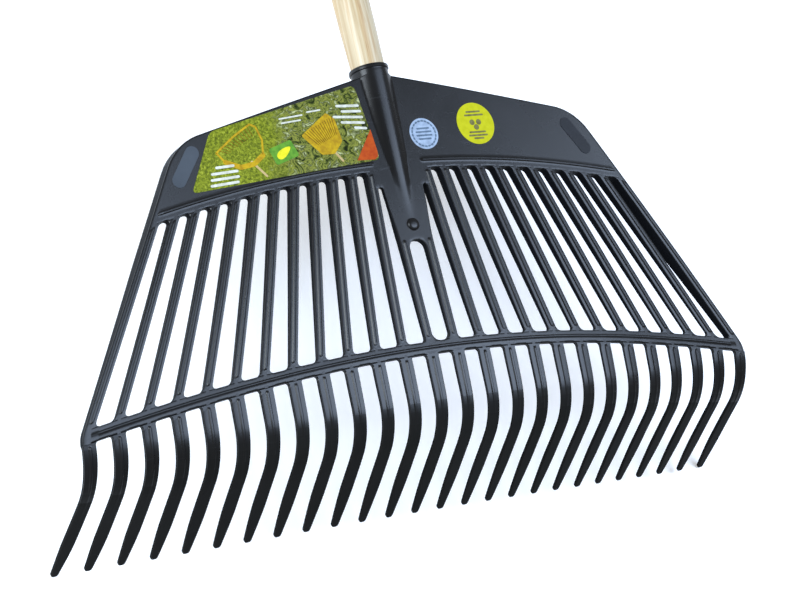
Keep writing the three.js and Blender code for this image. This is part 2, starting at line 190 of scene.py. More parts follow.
PLACES = (np.arange(BARS) - (BARS - 1) / 2) * PITCH
ROOTS = bar_centre(PLACES, crossbar_foot(PLACES))


def bar_sides(i, y):
    """Left and right edge of bar i at height y, before any corner fillets."""
    if i in CENTRE_BARS:
        inner, outer = CENTRE_SLOT_HALF + 0 * y, tongue_half(y)
        return (-outer, -inner) if i == CENTRE_BARS[0] else (inner, outer)
    centre = bar_centre(PLACES[i], y)
    if i == 0:
        return -side_edge(y), centre + BAR_HALF
    if i == BARS - 1:
        return centre - BAR_HALF, side_edge(y)
    return centre - BAR_HALF, centre + BAR_HALF


# ---- The layout grid: rows along the head, columns across it ----


def fillet(q, radius):
    """How far a corner fillet stands in from the side, at distance q from the slot's end."""
    q = np.clip(q, 0, radius)
    return radius - np.sqrt(np.maximum(radius**2 - (radius - q) ** 2, 0))


BOTTOM_FILLET, TOP_FILLET, GAP_FILLET = 3.3, 3.0, 2.2
CENTRE_BOTTOM_FILLET, CENTRE_TOP_FILLET, TONGUE_SLOT_FILLET = 6.2, 6.6, 1.5
FOOT_WIDENING = TINE_ROOT_HALF + GAP_FILLET - BAR_HALF
NEAR_BOTTOM = [0, 0.25, 0.7, 1.4, 2.3, 3.3, 3.8, 4.4, 5.2, 6.5]
NEAR_TOP = [5.0, 3.7, 3.0, 2.5, 2.1, 1.4, 0.7, 0.25, 0]
CENTRE_ROWS = [23, 47, 70]
CENTRE_ROWS += [71.9, 73.9, 75.9, 77.3, 78.1, 78.5, 78.75, 79.2, 81.5]
CENTRE_ROWS += [88, 95, 102, 109, 115, 119.5, 120.1, 120.7, 121, 121.25, 121.7, 124]
CROSSBAR_ROWS = [9.6, 9.35, 8.9, 8.4, 7.7, 6.4, 5.2, 4.8, 4.4, 4.0, 3.6, 3.2, 2.0, 0.7, 0.25]
PLATE_ROWS = [0.25, 0.7, 1.6, 3.0, 4.5, 4.9, 5.4, 5.9, 6.4, 6.9, 7.3, 9.5]
PLATE_FRACTIONS = np.linspace(0, 1, 10)[1:]
TOP_ROWS = [2.6, 2.4, 1.4, 0.7, 0.25, 0]
TINE_FILLET_ROWS = [4.0, 3.3, 2.6, 1.9, 1.2, 0.6, 0.25]
BEND_END = 20 / 44  # the share of a tine's length where its bend is over
TINE_FRACTIONS = np.append(np.linspace(0, BEND_END, 21), np.linspace(BEND_END, 1, 9)[1:])
TIP_ROWS = [2.0, 1.3, 0.7, 0.25, 0]
TIP_ROUND = 3.0


def build_rows():
    rows = [("tip", q) for q in reversed(TIP_ROWS)]
    rows += [("tine", g) for g in TINE_FRACTIONS[::-1]]
    rows += [("root", q) for q in TINE_FILLET_ROWS[1:]]
    rows += [("crossbar", q) for q in CROSSBAR_ROWS]
    rows += [("low", q) for q in NEAR_BOTTOM]
    span = SLOT_TOP - NEAR_TOP[0] - NEAR_BOTTOM[-1]
    rows += [("bar", (y - NEAR_BOTTOM[-1]) / span) for y in CENTRE_ROWS]
    rows += [("high", q) for q in NEAR_TOP]
    rows += [("plate", q) for q in PLATE_ROWS]
    rows += [("wing", g) for g in PLATE_FRACTIONS]
    rows += [("edge", q) for q in TOP_ROWS[1:]]
    return rows


ROWS = build_rows()
KINDS = np.array([k for k, _ in ROWS])
VALUES = np.array([v for _, v in ROWS], dtype=float)
PLATE, CROSSBAR = KINDS == "plate", KINDS == "crossbar"
LOW_ROW, HIGH_ROW = np.flatnonzero(KINDS == "low")[0], np.flatnonzero(KINDS == "high")[-1]
BAR_ROWS = np.isin(KINDS, ("low", "bar", "high"))[:, None]
WIDE_ROWS = np.isin(KINDS, ("plate", "wing", "edge"))[:, None]
TINE_ROWS = np.isin(KINDS, ("tip", "tine", "root"))
RIB_SAMPLES = [-1.4, -1.05, -0.55, 0, 0.55, 1.05, 1.4]
EDGE_SAMPLES = [0, 0.2, 0.7]


def build_columns():
    """Each column is its kind, the number of its bar or slot, and an offset or a share."""
    columns = []
    for i in range(BARS):
        extra = [0.33, 0.67] if i in CENTRE_BARS else []
        columns += [("left", i, e) for e in EDGE_SAMPLES]
        columns += [("leftface", i, f) for f in extra]
        columns += [("rib", i, r) for r in RIB_SAMPLES]
        columns += [("rightface", i, f) for f in extra]
        columns += [("right", i, e) for e in reversed(EDGE_SAMPLES)]
        if i < BARS - 1:
            count = 9 if i == CENTRE_SLOT else 4
            columns += [("slot", i, f) for f in np.linspace(0, 1, count + 1)[1:-1]]
    return columns


COLUMNS = build_columns()
IN_SLOT = np.array([c[0] == "slot" for c in COLUMNS])
ON_CENTRE_BAR = np.array([c[1] in CENTRE_BARS for c in COLUMNS])
ON_RAIL = ~IN_SLOT & np.array([c[1] in (0, BARS - 1) for c in COLUMNS])


def slot_end(j):
    """Height of slot j's upper end as a function of x, and its fillet."""
    if j == CENTRE_SLOT:
        return (lambda x: CENTRE_SLOT_TOP + 0 * x), CENTRE_TOP_FILLET
    if j in TONGUE_SLOTS:
        return (lambda x: TONGUE_SLOT_TOP + 0 * x), TONGUE_SLOT_FILLET
    return slot_top, TOP_FILLET


def bottom_fillet(j):
    return CENTRE_BOTTOM_FILLET if j == CENTRE_SLOT else BOTTOM_FILLET


def widening(j, y):
    """How far slot j's sides stand in, on each row."""
    w = np.zeros_like(y)
    if not 0 <= j < BARS - 1:
        return w
    low, (end, high) = bottom_fillet(j), slot_end(j)
    short = j == CENTRE_SLOT or j in TONGUE_SLOTS
    for r, (kind, value) in enumerate(ROWS):
        if kind == "crossbar":
            w[r] = mix(low, FOOT_WIDENING, value / CROSSBAR_HEIGHT)
        elif kind == "low":
            w[r] = fillet(value, low)
        elif short and y[r] < end(0.0) - 1e-6:
            w[r] = fillet(end(0.0) - y[r], high)
        elif short:
            w[r] = high * (1 - smooth((y[r] - end(0.0)) / SHORT_SLOT_FADE))
        elif kind == "high":
            w[r] = fillet(value, high)
        elif kind == "plate":
            w[r] = high * (1 - smooth(value / SLOT_FADE))
    return w


def row_heights(x_low, x_high, x_edge):
    """One column's y on every row, from its x at the crossbar, the slots' ends and the top."""
    low, high = crossbar_top(x_low), slot_top(x_high)
    first, last = low + NEAR_BOTTOM[-1], high - NEAR_TOP[0]
    top = TOP_EDGE - TOP_EDGE_SLOPE * abs(x_edge)
    rim = top - TOP_ROWS[0]
    plate = high + PLATE_ROWS[-1]
    y = np.zeros(len(ROWS))
    for kind, value in (
        ("crossbar", lambda v: low - v),
        ("root", lambda v: low - CROSSBAR_HEIGHT - v),
        ("low", lambda v: low + v),
        ("bar", lambda v: mix(first, last, v)),
        ("high", lambda v: high - v),
        ("plate", lambda v: high + v),
        ("wing", lambda v: mix(plate, rim, v)),
        ("edge", lambda v: top - v),
    ):
        on = KINDS == kind
        y[on] = value(VALUES[on])
    y[np.isin(KINDS, ("tine", "tip"))] = low - CROSSBAR_HEIGHT - TINE_FILLET_ROWS[0]
    return y


def rib_line(i, y):
    """x of the rib on bar i."""
    if i in (0, BARS - 1):
        return bar_centre(PLACES[i], y)
    left, right = bar_sides(i, y)
    return (left + right) / 2


def across_bar(kind, value, left, centre, right, edge_scale=1.0, rib_scale=1.0):
    """Where a column lies between the two edges of a bar or tine, round its rib."""
    rib, step = RIB_HALF * rib_scale, EDGE_SAMPLES[-1] * edge_scale
    if kind == "left":
        return left + value * edge_scale
    if kind == "right":
        return right - value * edge_scale
    if kind == "leftface":
        return mix(left + step, centre - rib, value)
    if kind == "rightface":
        return mix(centre + rib, right - step, value)
    return centre + value * rib_scale


def column_x(column, y):
    kind, i, value = column
    left, right = bar_sides(i, y)
    left, right = left - widening(i - 1, y), right + widening(i, y)
    if kind == "slot":
        next_left, _ = bar_sides(i + 1, y)
        return mix(right, next_left - widening(i, y), value)
    return across_bar(kind, value, left, rib_line(i, y), right)


def layout():
    """x and y of every grid point, before the corners are rounded.

    The two depend on each other, so each column starts from a guess and is improved in turns.
    """
    xs, ys = [], []
    for column in COLUMNS:
        guess = PLACES[column[1]]
        if column[0] == "slot":
            guess = mix(guess, PLACES[column[1] + 1], column[2])
        x_low, x_high, x_edge = guess, guess * 0.7, guess * 0.57
        for _ in range(6):
            y = row_heights(x_low, x_high, x_edge)
            x = column_x(column, y)
            x_low, x_high, x_edge = x[LOW_ROW], x[HIGH_ROW], x[-1]
        for _ in range(4):
            y[PLATE] = slot_top(x[PLATE]) + VALUES[PLATE]
            y[CROSSBAR] = crossbar_top(x[CROSSBAR]) - VALUES[CROSSBAR]
            x = column_x(column, y)
        xs.append(x)
        ys.append(y)
    return np.array(xs).T, np.array(ys).T


GX, GY = layout()

# ---- Distances to the edges ----


def opening_distance(x, left, right, past_end, radius):
    """Distance from an opening with rounded corners, positive in the plastic."""
    qx = np.abs(x - (left + right) / 2) - (right - left) / 2 + radius
    qy = past_end + radius
    corner = np.hypot(np.maximum(qx, 0), np.maximum(qy, 0))
    return corner + np.minimum(np.maximum(qx, qy), 0) - radius


def slot_distance(x, y, j):
    end, high = slot_end(j)
    _, left = bar_sides(j, y)
    right, _ = bar_sides(j + 1, y)
    over, under = y - end(x), crossbar_top(x) - y
    radius = np.where(over > under, high, bottom_fillet(j))
    return opening_distance(x, left, right, np.maximum(over, under), radius)


def gap_distance(x, y, j):
    """Distance from the open gap between tines j and j + 1, near their roots."""
    left, right = ROOTS[j] + TINE_ROOT_HALF, ROOTS[j + 1] - TINE_ROOT_HALF
    return opening_distance(x, left, right, y - crossbar_foot(x), GAP_FILLET)


def gap_edge_distance(x, y):
    return np.min([gap_distance(x, y, j) for j in range(BARS - 1)], axis=0)


SIDE_COS = math.cos(math.atan(SIDE_EDGE_SLOPE))
TOP_COS = math.cos(math.atan(TOP_EDGE_SLOPE))


def outline_distances(x, y):
    from_side = (side_edge(y) - np.abs(x)) * SIDE_COS
    from_top = (TOP_EDGE - TOP_EDGE_SLOPE * np.abs(x) - y) * TOP_COS
    return from_side, from_top


def edge_distance(x, y):
    from_side, from_top = outline_distances(x, y)
    distance = np.minimum(from_side, from_top)
    for j in range(BARS - 1):
        distance = np.minimum(distance, slot_distance(x, y, j))
    return np.maximum(np.minimum(distance, gap_edge_distance(x, y)), 0)


def round_corners(x, y):
    """Bends the grid's square upper corners round, keeping every line's distance to the edge."""
    a, b = outline_distances(x, y)
    side_normal = np.array([1, SIDE_EDGE_SLOPE]) * SIDE_COS
    top_normal = np.array([TOP_EDGE_SLOPE, 1]) * TOP_COS
    side_angle, top_angle = (math.atan2(n[1], n[0]) for n in (side_normal, top_normal))
    offsets = [
        side_normal @ [SIDE_EDGE, 0] - CORNER_RADIUS,
        top_normal @ [0, TOP_EDGE] - CORNER_RADIUS,
    ]
    centre = np.linalg.solve(np.array([side_normal, top_normal]), offsets)
    dx, dy = np.abs(x) - centre[0], y - centre[1]
    angle = np.arctan2(dy, dx)
    inside = (angle > side_angle) & (angle < top_angle)
    reach = CORNER_RADIUS - np.minimum(a, b)
    new_x = (centre[0] + reach * np.cos(angle)) * np.sign(x)
    new_y = centre[1] + reach * np.sin(angle)
    return np.where(inside, new_x, x), np.where(inside, new_y, y)


# ---- Heights of the outer and the inner face ----


def edge_round(distance, radius=EDGE_RADIUS):
    d = np.clip(distance, 0, radius)
    return np.sqrt(np.maximum(radius**2 - (radius - d) ** 2, 0)) - radius


def bead(distance, half=RIB_HALF, height=RIB_HEIGHT):
    """Cross-section of a rib or ridge: steep sides and a rounded top."""
    t = np.clip(1 - np.abs(distance) / half, 0, 1)
    return height * np.sin(smooth(np.minimum(t * BEAD_STEEPNESS, 1)) * math.pi / 2)


def rib_height(x, y):
    height = np.zeros_like(x)
    for i in range(BARS):
        stop = slot_top(x) - RIB_STOP
        if i in CENTRE_BARS:
            stop = CENTRE_SLOT_TOP - CENTRE_RIB_STOP
        beyond = np.maximum(y - stop, crossbar_top(x) + RIB_START - y)
        height = np.maximum(height, bead(np.hypot(x - rib_line(i, y), np.maximum(beyond, 0))))
    return height


def ridge_heights(x, y):
    """The ridge along the crossbar, and the one over the slots' upper ends."""
    down = crossbar_top(x) - y - RIDGE_DOWN
    end = np.maximum(np.abs(x) - RIDGE_END, 0)
    height = bead(np.hypot(down, end), RIDGE_HALF)
    up = y - slot_top(x) - ARC_RIDGE_UP
    inner = (np.where(x < 0, ARC_RIDGE_LEFT, ARC_RIDGE_RIGHT) - x) * np.sign(x)
    end = np.maximum(np.maximum(inner, np.abs(x) - ARC_RIDGE_END), 0)
    return np.maximum(height, bead(np.hypot(up, end), RIDGE_HALF, ARC_RIDGE_HEIGHT))


def socket_radius(y):
    return mix(SOCKET_END_RADIUS, SOCKET_RADIUS, (y - SOCKET_END) / (SOCKET_TOP - SOCKET_END))


def socket_height(x, y):
    radius = socket_radius(y)
    return np.sqrt(np.maximum(radius**2 - x**2, 0)) - AXIS_DEPTH


def top_height(x, y):
    """Outer face: ribs, ridges and rounded edges, with the socket's tube growing out of it."""
    gap_edges = edge_round(gap_edge_distance(x, y), GAP_EDGE_RADIUS)
    edges = np.minimum(edge_round(edge_distance(x, y)), gap_edges)
    face = np.maximum(rib_height(x, y), ridge_heights(x, y)) + edges
    tube = np.where(y > TUBE_FROM, socket_height(x, y), -99)
    width = mix(*TUBE_BLEND, smooth((y - SOCKET_END) / TUBE_BLEND_REACH))
    return blend_over(face, tube, width)


def bar_depth(y):
    return BAR_DEPTH + BAR_GROWTH * y


def rim_depth(y):
    return np.clip(RIM_DEPTH_LOW + RIM_GROWTH * (y + CROSSBAR_SWEEP), RIM_DEPTH_LOW, RIM_DEPTH)


def bottom_height(x, y):
    """Inner face: deep bars that run out under the thinner plate, and a rim round the outline."""
    depth = np.where(BAR_ROWS, bar_depth(y), PLATE_DEPTH)
    beyond = y - slot_top(x)
    tail = mix(bar_depth(slot_top(x)), PLATE_DEPTH, smooth(beyond / BAR_TAIL))
    depth = np.where(WIDE_ROWS & ~IN_SLOT & (beyond < BAR_TAIL), tail, depth)
    centre = (IN_SLOT | ON_CENTRE_BAR) & (np.abs(x) < CENTRE_HALF) & (y > CENTRE_SLOT_TOP - 0.1)
    tail = mix(bar_depth(y), PLATE_DEPTH, smooth((y - CENTRE_TAIL_FROM) / CENTRE_TAIL))
    depth = np.where(centre, tail, depth)
    depth = np.where(CROSSBAR[:, None], CROSSBAR_DEPTH, depth)
    depth = np.where((KINDS == "root")[:, None], TINE_DEPTH, depth)
    from_side, from_top = outline_distances(x, y)
    side_rim = (from_side < RIM_WIDTH) & ~TINE_ROWS[:, None]
    top_rim = (from_top < TOP_RIM_WIDTH) & WIDE_ROWS
    rim = side_rim | top_rim | (BAR_ROWS & ON_RAIL)
    return -np.where(rim, np.maximum(rim_depth(y), depth), depth)


# ---- Tines ----


class TineLine:
    """A tine's outer line in the y-z plane: out along the sheet, a smooth bend, and down."""

    def __init__(self, place):
        spread = (place / HALF_SPAN) ** 2
        foot = crossbar_foot(place)
        start = np.array([foot, sheet_height(place, foot)])
        corner = np.array([-TINE_CORNER, sheet_height(place, -TINE_CORNER) - TINE_DIP])
        reach = TINE_REACH - TINE_REACH_LOSS * spread
        tip = np.array([-reach, corner[1] - TINE_DROP - TINE_DROP_GAIN * spread])
        bend_start = corner + (start - corner) / np.linalg.norm(start - corner) * TINE_BEND_REACH
        bend_end = corner + (tip - corner) / np.linalg.norm(tip - corner) * TINE_BEND_REACH
        t = np.linspace(0, 1, 41)[:, None]
        bend = (1 - t) ** 2 * bend_start + 2 * t * (1 - t) * corner + t**2 * bend_end
        self.points = np.vstack([start, bend, tip])
        steps = np.linalg.norm(np.diff(self.points, axis=0), axis=1)
        self.lengths = np.concatenate([[0], np.cumsum(steps)])
        self.total = self.lengths[-1]

    def at(self, s):
        return np.array([np.interp(s, self.lengths, self.points[:, k]) for k in (0, 1)])

    def normal(self, s):
        ahead = self.at(s + 0.5) - self.at(s - 0.5)
        return np.array([ahead[1], -ahead[0]]) / np.linalg.norm(ahead)


def tine_half(share):
    """Half width of a tine at a share of its length."""
    narrowing = max(0.0, (share - TINE_NARROWING) / (1 - TINE_NARROWING)) ** 1.4
    half = mix(TINE_ROOT_HALF, TINE_HALF, float(smooth(share / 0.35)))
    return half * mix(1, TINE_TIP_SCALE, narrowing)


def tine_vertex(line, column, row, inner):
    """One grid point on the outer or inner face of a tine."""
    kind, i, value = column
    row_kind, q = row
    first, last = TINE_FILLET_ROWS[0], line.total - TIP_ROUND
    s = {"root": q, "tine": mix(first, last, q), "tip": line.total - q}[row_kind]
    share = s / line.total
    place, half, depth = PLACES[i], tine_half(share), TINE_DEPTH
    closing, extra = 1.0, 0.0
    if row_kind == "tip":
        closing = math.sqrt(max(1 - ((TIP_ROUND - q) / TIP_ROUND) ** 2, 0.004))
    if row_kind == "root":
        extra = fillet(q, GAP_FILLET)
        depth = mix(CROSSBAR_DEPTH, TINE_DEPTH, min(q / 3, 1))
    size = half / TINE_ROOT_HALF
    left = -half * closing - (extra if i > 0 else 0)
    right = half * closing + (extra if i < BARS - 1 else 0)
    offset = across_bar(kind, value, left, 0.0, right, closing, size * closing)
    if inner:
        height = -depth
    else:
        radius = mix(EDGE_RADIUS, TINE_EDGE_RADIUS, float(smooth(share * 2)))
        radius = mix(GAP_EDGE_RADIUS, radius, min(s / 8, 1))
        inside = min(offset - left, right - offset) * radius / EDGE_RADIUS
        fade = 1 - float(smooth((s - TINE_RIB_END) / TINE_RIB_FADE))
        height = float(edge_round(inside, radius))
        height += float(bead(math.hypot(offset / size, max(TINE_RIB_START - s, 0)))) * fade
    height = mix(-depth / 2, height, closing)
    at, normal = line.at(s), line.normal(s)
    side = place / HALF_SPAN
    lean = TINE_SPLAY * side**3 - TINE_SPLAY_LOSS * side
    x = ROOTS[i] + lean * share**2 + offset
    skew = (crossbar_foot(x) - crossbar_foot(place)) * max(0, 1 - 8 * share)
    roll = sheet_height(place + offset, at[0]) - sheet_height(place, at[0])
    return x, at[0] + skew + normal[0] * height, at[1] + roll + normal[1] * height


def bend_tines(top, bottom):
    """Moves the grid points below the crossbar's foot from the sheet to the tines."""
    lines = [TineLine(place) for place in PLACES]
    for c in np.flatnonzero(~IN_SLOT):
        line = lines[COLUMNS[c][1]]
        for r in np.flatnonzero(TINE_ROWS):
            top[r, c] = tine_vertex(line, COLUMNS[c], ROWS[r], False)
            bottom[r, c] = tine_vertex(line, COLUMNS[c], ROWS[r], True)


# ---- Making meshes ----


def solid_cells():
    """Which grid cells are plastic."""
    cells = np.ones((len(ROWS) - 1, len(COLUMNS) - 1), dtype=bool)
    for c in np.flatnonzero(IN_SLOT[:-1] | IN_SLOT[1:]):
        end, _ = slot_end(COLUMNS[c][1])
        cells[: np.flatnonzero(CROSSBAR)[0], c] = False
        middle_y = (GY[:-1, c] + GY[1:, c]) / 2
        middle_x = (GX[:-1, c] + GX[1:, c]) / 2
        open_rows = middle_y < end(middle_x)
        open_rows[:LOW_ROW] = False
        cells[open_rows, c] = False
    return cells


def head_mesh():
    """Points, faces and material numbers of the moulding: two skins with walls between them."""
    x, y = round_corners(GX, GY)
    top = on_sheet(x, y, top_height(GX, GY))
    bottom = on_sheet(x, y, bottom_height(GX, GY))
    bend_tines(top, bottom)
    count = len(ROWS) * len(COLUMNS)
    r, c = np.nonzero(solid_cells())
    a = r * len(COLUMNS) + c
    quads = np.stack([a, a + 1, a + 1 + len(COLUMNS), a + len(COLUMNS)], axis=1)
    edges = dict.fromkeys((q[k], q[(k + 1) % 4]) for q in quads.tolist() for k in range(4))
    walls = [(p + count, q + count, q, p) for p, q in edges if (q, p) not in edges]
    points = np.vstack([top.reshape(-1, 3), bottom.reshape(-1, 3)])
    faces = [*map(tuple, quads), *map(tuple, quads[:, ::-1] + count), *walls]
    # Painted shade: cells on the lower tines take the shaded copies, a darker step further down.
    gloss = np.zeros(len(r), dtype=int)
    for share, material in SHADE_STEPS:
        gloss[r < len(TIP_ROWS) + np.sum(TINE_FRACTIONS > share)] = material
    # The walls take the dark wall copy, painted shade.
    materials = [*gloss, *gloss, *[SHADED_WALL] * len(walls)]
    used = np.unique([quads, quads + count])
    renumber = np.zeros(len(points), dtype=int)
    renumber[used] = np.arange(len(used))
    return points[used], [tuple(renumber[list(f)]) for f in faces], materials


def full_turn(steps):
    """Evenly spaced angles round a circle."""
    return [2 * math.pi * n / steps for n in range(steps)]


def circle(x, y, radius, steps=64):
    return [(x + radius * math.cos(t), y + radius * math.sin(t)) for t in full_turn(steps)]


def stitched(rings):
    """A closed surface through rings of points; a ring may be a single point at either end."""
    points, faces, numbers = [], [], []
    for ring in rings:
        numbers.append(range(len(points), len(points) + len(ring)))
        points += ring
    for low, high in zip(numbers, numbers[1:]):
        steps = max(len(low), len(high))
        for n in range(steps):
            m = (n + 1) % steps
            if len(low) == 1:
                faces.append((low[0], high[m], high[n]))
            elif len(high) == 1:
                faces.append((low[n], low[m], high[0]))
            else:
                faces.append((low[n], low[m], high[m], high[n]))
    caps = (numbers[0][::-1], numbers[-1])
    return points, faces + [tuple(cap) for cap in caps if len(cap) > 1]


def lathe(profile, steps):
    """A surface turned about the handle's axis, from [radius, y] points that end on it."""
    rings = []
    for radius, y in profile:
        turn = full_turn(steps if radius else 1)
        rings.append([(radius * math.sin(t), y, radius * math.cos(t) - AXIS_DEPTH) for t in turn])
    return stitched(rings)


class Solid:
    """Points, faces and material numbers gathered from several closed shells."""

    def __init__(self, *shells):
        self.points, self.faces, self.materials = [], [], []
        for shell in shells:
            self.add(*shell)

    def add(self, points, faces, material=0):
        start = len(self.points)
        self.points.extend(tuple(p) for p in points)
        self.faces.extend(tuple(int(i) + start for i in f) for f in faces)
        self.materials.extend(np.broadcast_to(material, len(faces)).tolist())

    def build(self, name, slot_name, nodes, *materials, weighted=False):
        """One object in the row frame, which rides on the root body."""
        mesh = bpy.data.meshes.new(name)
        mesh.from_pydata([tuple(p) for p in to_row(self.points)], [], self.faces)
        mesh.validate()
        mesh.update()
        mesh.shade_smooth()
        mesh.set_sharp_from_angle(angle=SHARP_ANGLE)
        for material in materials:
            mesh.materials.append(material)
        mesh.polygons.foreach_set("material_index", self.materials)
        obj = bpy.data.objects.new(name, mesh)
        bpy.context.collection.objects.link(obj)
        if weighted:
            obj.modifiers.new("even_shading", "WEIGHTED_NORMAL").keep_sharp = True
        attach(obj, "root")
        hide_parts(*nodes)


def dome_shell():
    """The small dome at the foot of the socket, with a soft fillet round it."""
    skirt = ((0.9, -1.5), (0.9, -0.02), (0.35, 0.1), (0, 0.35))
    profile = [(DOME_RADIUS + out, height) for out, height in skirt]
    for step in range(11, -1, -1):
        share = math.sin(step / 12 * math.pi / 2)
        profile.append((DOME_RADIUS * share, DOME_HEIGHT * math.sqrt(1 - share**3)))
    rings = []
    for radius, height in profile:
        ring = circle(0, DOME_Y, radius, 48 if radius else 1)
        rings.append([(x, y, height) for x, y in ring])
    return stitched(rings)


def laid_solid(outline, low, high, cell, slope=0.0):
    """A thin slab with an anticlockwise outline, laid on the sheet between two heights.

    It is cut into cells, so that it follows the sheet. A slope draws its upper edge in.
    """
    bm = bmesh.new()
    bm.faces.new([bm.verts.new((x, y, 0)) for x, y in outline])
    for axis in (0, 1):
        values = [p[axis] for p in outline]
        value = math.floor(min(values) / cell) * cell + cell
        while value < max(values):
            normal = Vector((1, 0, 0) if axis == 0 else (0, 1, 0))
            geometry = bm.verts[:] + bm.edges[:] + bm.faces[:]
            bmesh.ops.bisect_plane(
                bm, geom=geometry, dist=1e-5, plane_co=normal * value, plane_no=normal
            )
            value += cell
    bm.verts.index_update()
    flat = np.array([v.co[:2] for v in bm.verts])
    faces = [tuple(v.index for v in f.verts) for f in bm.faces]
    rim_loops = [e.link_loops[0] for e in bm.edges if len(e.link_faces) == 1]
    walls = [(loop.vert.index, loop.link_loop_next.vert.index) for loop in rim_loops]
    bm.free()
    inward = np.zeros_like(flat)
    for a, b in walls:
        step = flat[b] - flat[a]
        side = np.array([-step[1], step[0]]) / max(np.linalg.norm(step), 1e-9)
        inward[a] += side
        inward[b] += side
    lengths = np.linalg.norm(inward, axis=1, keepdims=True)
    inward = np.divide(inward, lengths, out=np.zeros_like(inward), where=lengths > 0)
    count = len(flat)
    upper = flat + inward * slope
    points = [*on_sheet(upper[:, 0], upper[:, 1], high), *on_sheet(flat[:, 0], flat[:, 1], low)]
    faces += [tuple(i + count for i in reversed(f)) for f in faces]
    return points, faces + [(a + count, b + count, b, a) for a, b in walls]


def stadium(a, b, radius, steps=12):
    """A bar with round ends from a to b."""
    heading = math.atan2(b[1] - a[1], b[0] - a[0])
    outline = []
    for centre, start in ((b, heading - math.pi / 2), (a, heading + math.pi / 2)):
        for n in range(steps + 1):
            t = start + math.pi * n / steps
            outline.append((centre[0] + radius * math.cos(t), centre[1] + radius * math.sin(t)))
    return outline


def anticlockwise(outline):
    area = sum(a[0] * b[1] - b[0] * a[1] for a, b in zip(outline, outline[1:] + outline[:1]))
    return outline if area > 0 else outline[::-1]


def rounded(corners, radius, steps=6):
    """A polygon with rounded corners, anticlockwise."""
    outline = []
    for n, corner in enumerate(corners):
        corner = Vector(corner)
        before = (Vector(corners[n - 1]) - corner).normalized() * radius + corner
        after = (Vector(corners[(n + 1) % len(corners)]) - corner).normalized() * radius + corner
        for k in range(steps + 1):
            t = k / steps
            p = before * (1 - t) ** 2 + corner * 2 * t * (1 - t) + after * t**2
            outline.append((p.x, p.y))
    return anticlockwise(outline)


def socket_shell():
    """The whole tube, just inside the one that grows out of the head, with its lip and bore."""
    profile = [[0, SOCKET_END - 0.6], [4.5, SOCKET_END - 0.6], [6.4, SOCKET_END]]
    profile += [[socket_radius(y) - 0.05, y] for y in np.linspace(97.5, 212.2, 24)]
    lip = SOCKET_TOP - LIP_HEIGHT
    profile += [
        [socket_radius(lip) - 0.25, lip - 0.5],
        [socket_radius(lip) - 0.1, lip],
        [LIP_RADIUS - 0.35, lip + 0.12],
        [LIP_RADIUS, lip + 0.55],
        [LIP_RADIUS, SOCKET_TOP - 0.75],
        [LIP_RADIUS - 0.25, SOCKET_TOP - 0.2],
        [LIP_RADIUS - 0.8, SOCKET_TOP],
        [13.75, SOCKET_TOP],
        [13.4, SOCKET_TOP - 0.4],
        [6.7, 126.0],
        [0, 126.0],
    ]
    return lathe(profile, 72)


def handle_shell():
    """The stick: a tapered tip inside the socket, a straight length and a rounded free end."""
    profile = [[0, HANDLE_TIP], [HANDLE_TIP_RADIUS - 1, HANDLE_TIP]]
    profile += [[HANDLE_TIP_RADIUS, HANDLE_TIP + 1]]
    for y in np.linspace(140, SOCKET_TOP, 10):
        share = (y - HANDLE_TIP) / (SOCKET_TOP - HANDLE_TIP)
        profile.append([mix(HANDLE_TIP_RADIUS, HANDLE_MOUTH_RADIUS, share), y])
    for t in np.linspace(0, 1, 9)[1:]:
        radius = mix(HANDLE_MOUTH_RADIUS, HANDLE_RADIUS, math.sin(t * math.pi / 2))
        profile.append([radius, SOCKET_TOP + HANDLE_TAPER * t])
    last = HANDLE_END - HANDLE_ROUND
    for y in np.linspace(SOCKET_TOP + HANDLE_TAPER, last, 30)[1:]:
        profile.append([HANDLE_RADIUS, y])
    for t in np.linspace(0, 1, 9)[1:]:
        angle = t * math.pi / 2
        radius = mix(HANDLE_FLAT_RADIUS, HANDLE_RADIUS, math.cos(angle))
        profile.append([radius, last + HANDLE_ROUND * math.sin(angle)])
    profile.append([0, HANDLE_END])
    return lathe(profile, 96)


def screw_shell():
    """Pan head with a cross recess, on a plain shank that goes into the socket from behind."""
    seat = -(AXIS_DEPTH + float(socket_radius(SCREW_Y)) + 0.1)
    shank = SCREW_SHANK_RADIUS
    radii = [*np.linspace(0.15, 2.4, 16), 2.7, 3.1, 3.5, 3.8, 3.95, SCREW_HEAD_RADIUS]
    rings = []

    def recess(x, y):
        arm = max(min(0.55 - abs(x), 1.9 - abs(y)), min(0.55 - abs(y), 1.9 - abs(x)))
        return 1.3 * float(smooth(arm / 0.3 + 0.4)) if arm > -0.12 else 0.0

    for radius in radii:
        dome = SCREW_HEAD_HEIGHT * math.sqrt(max(1 - (radius / SCREW_HEAD_RADIUS) ** 4, 0)) * 0.8
        ring = circle(0, 0, radius, 96)
        rings.append([(x, SCREW_Y + y, seat - 0.35 - dome + recess(x, y)) for x, y in ring])
    for radius, height in ((SCREW_HEAD_RADIUS, 0), (3.9, 0.1), (shank, 0.1), (shank, 14.0)):
        rings.append([(x, y, seat + height) for x, y in circle(0, SCREW_Y, radius, 96)])
    return stitched(rings)


# ---- Materials ----


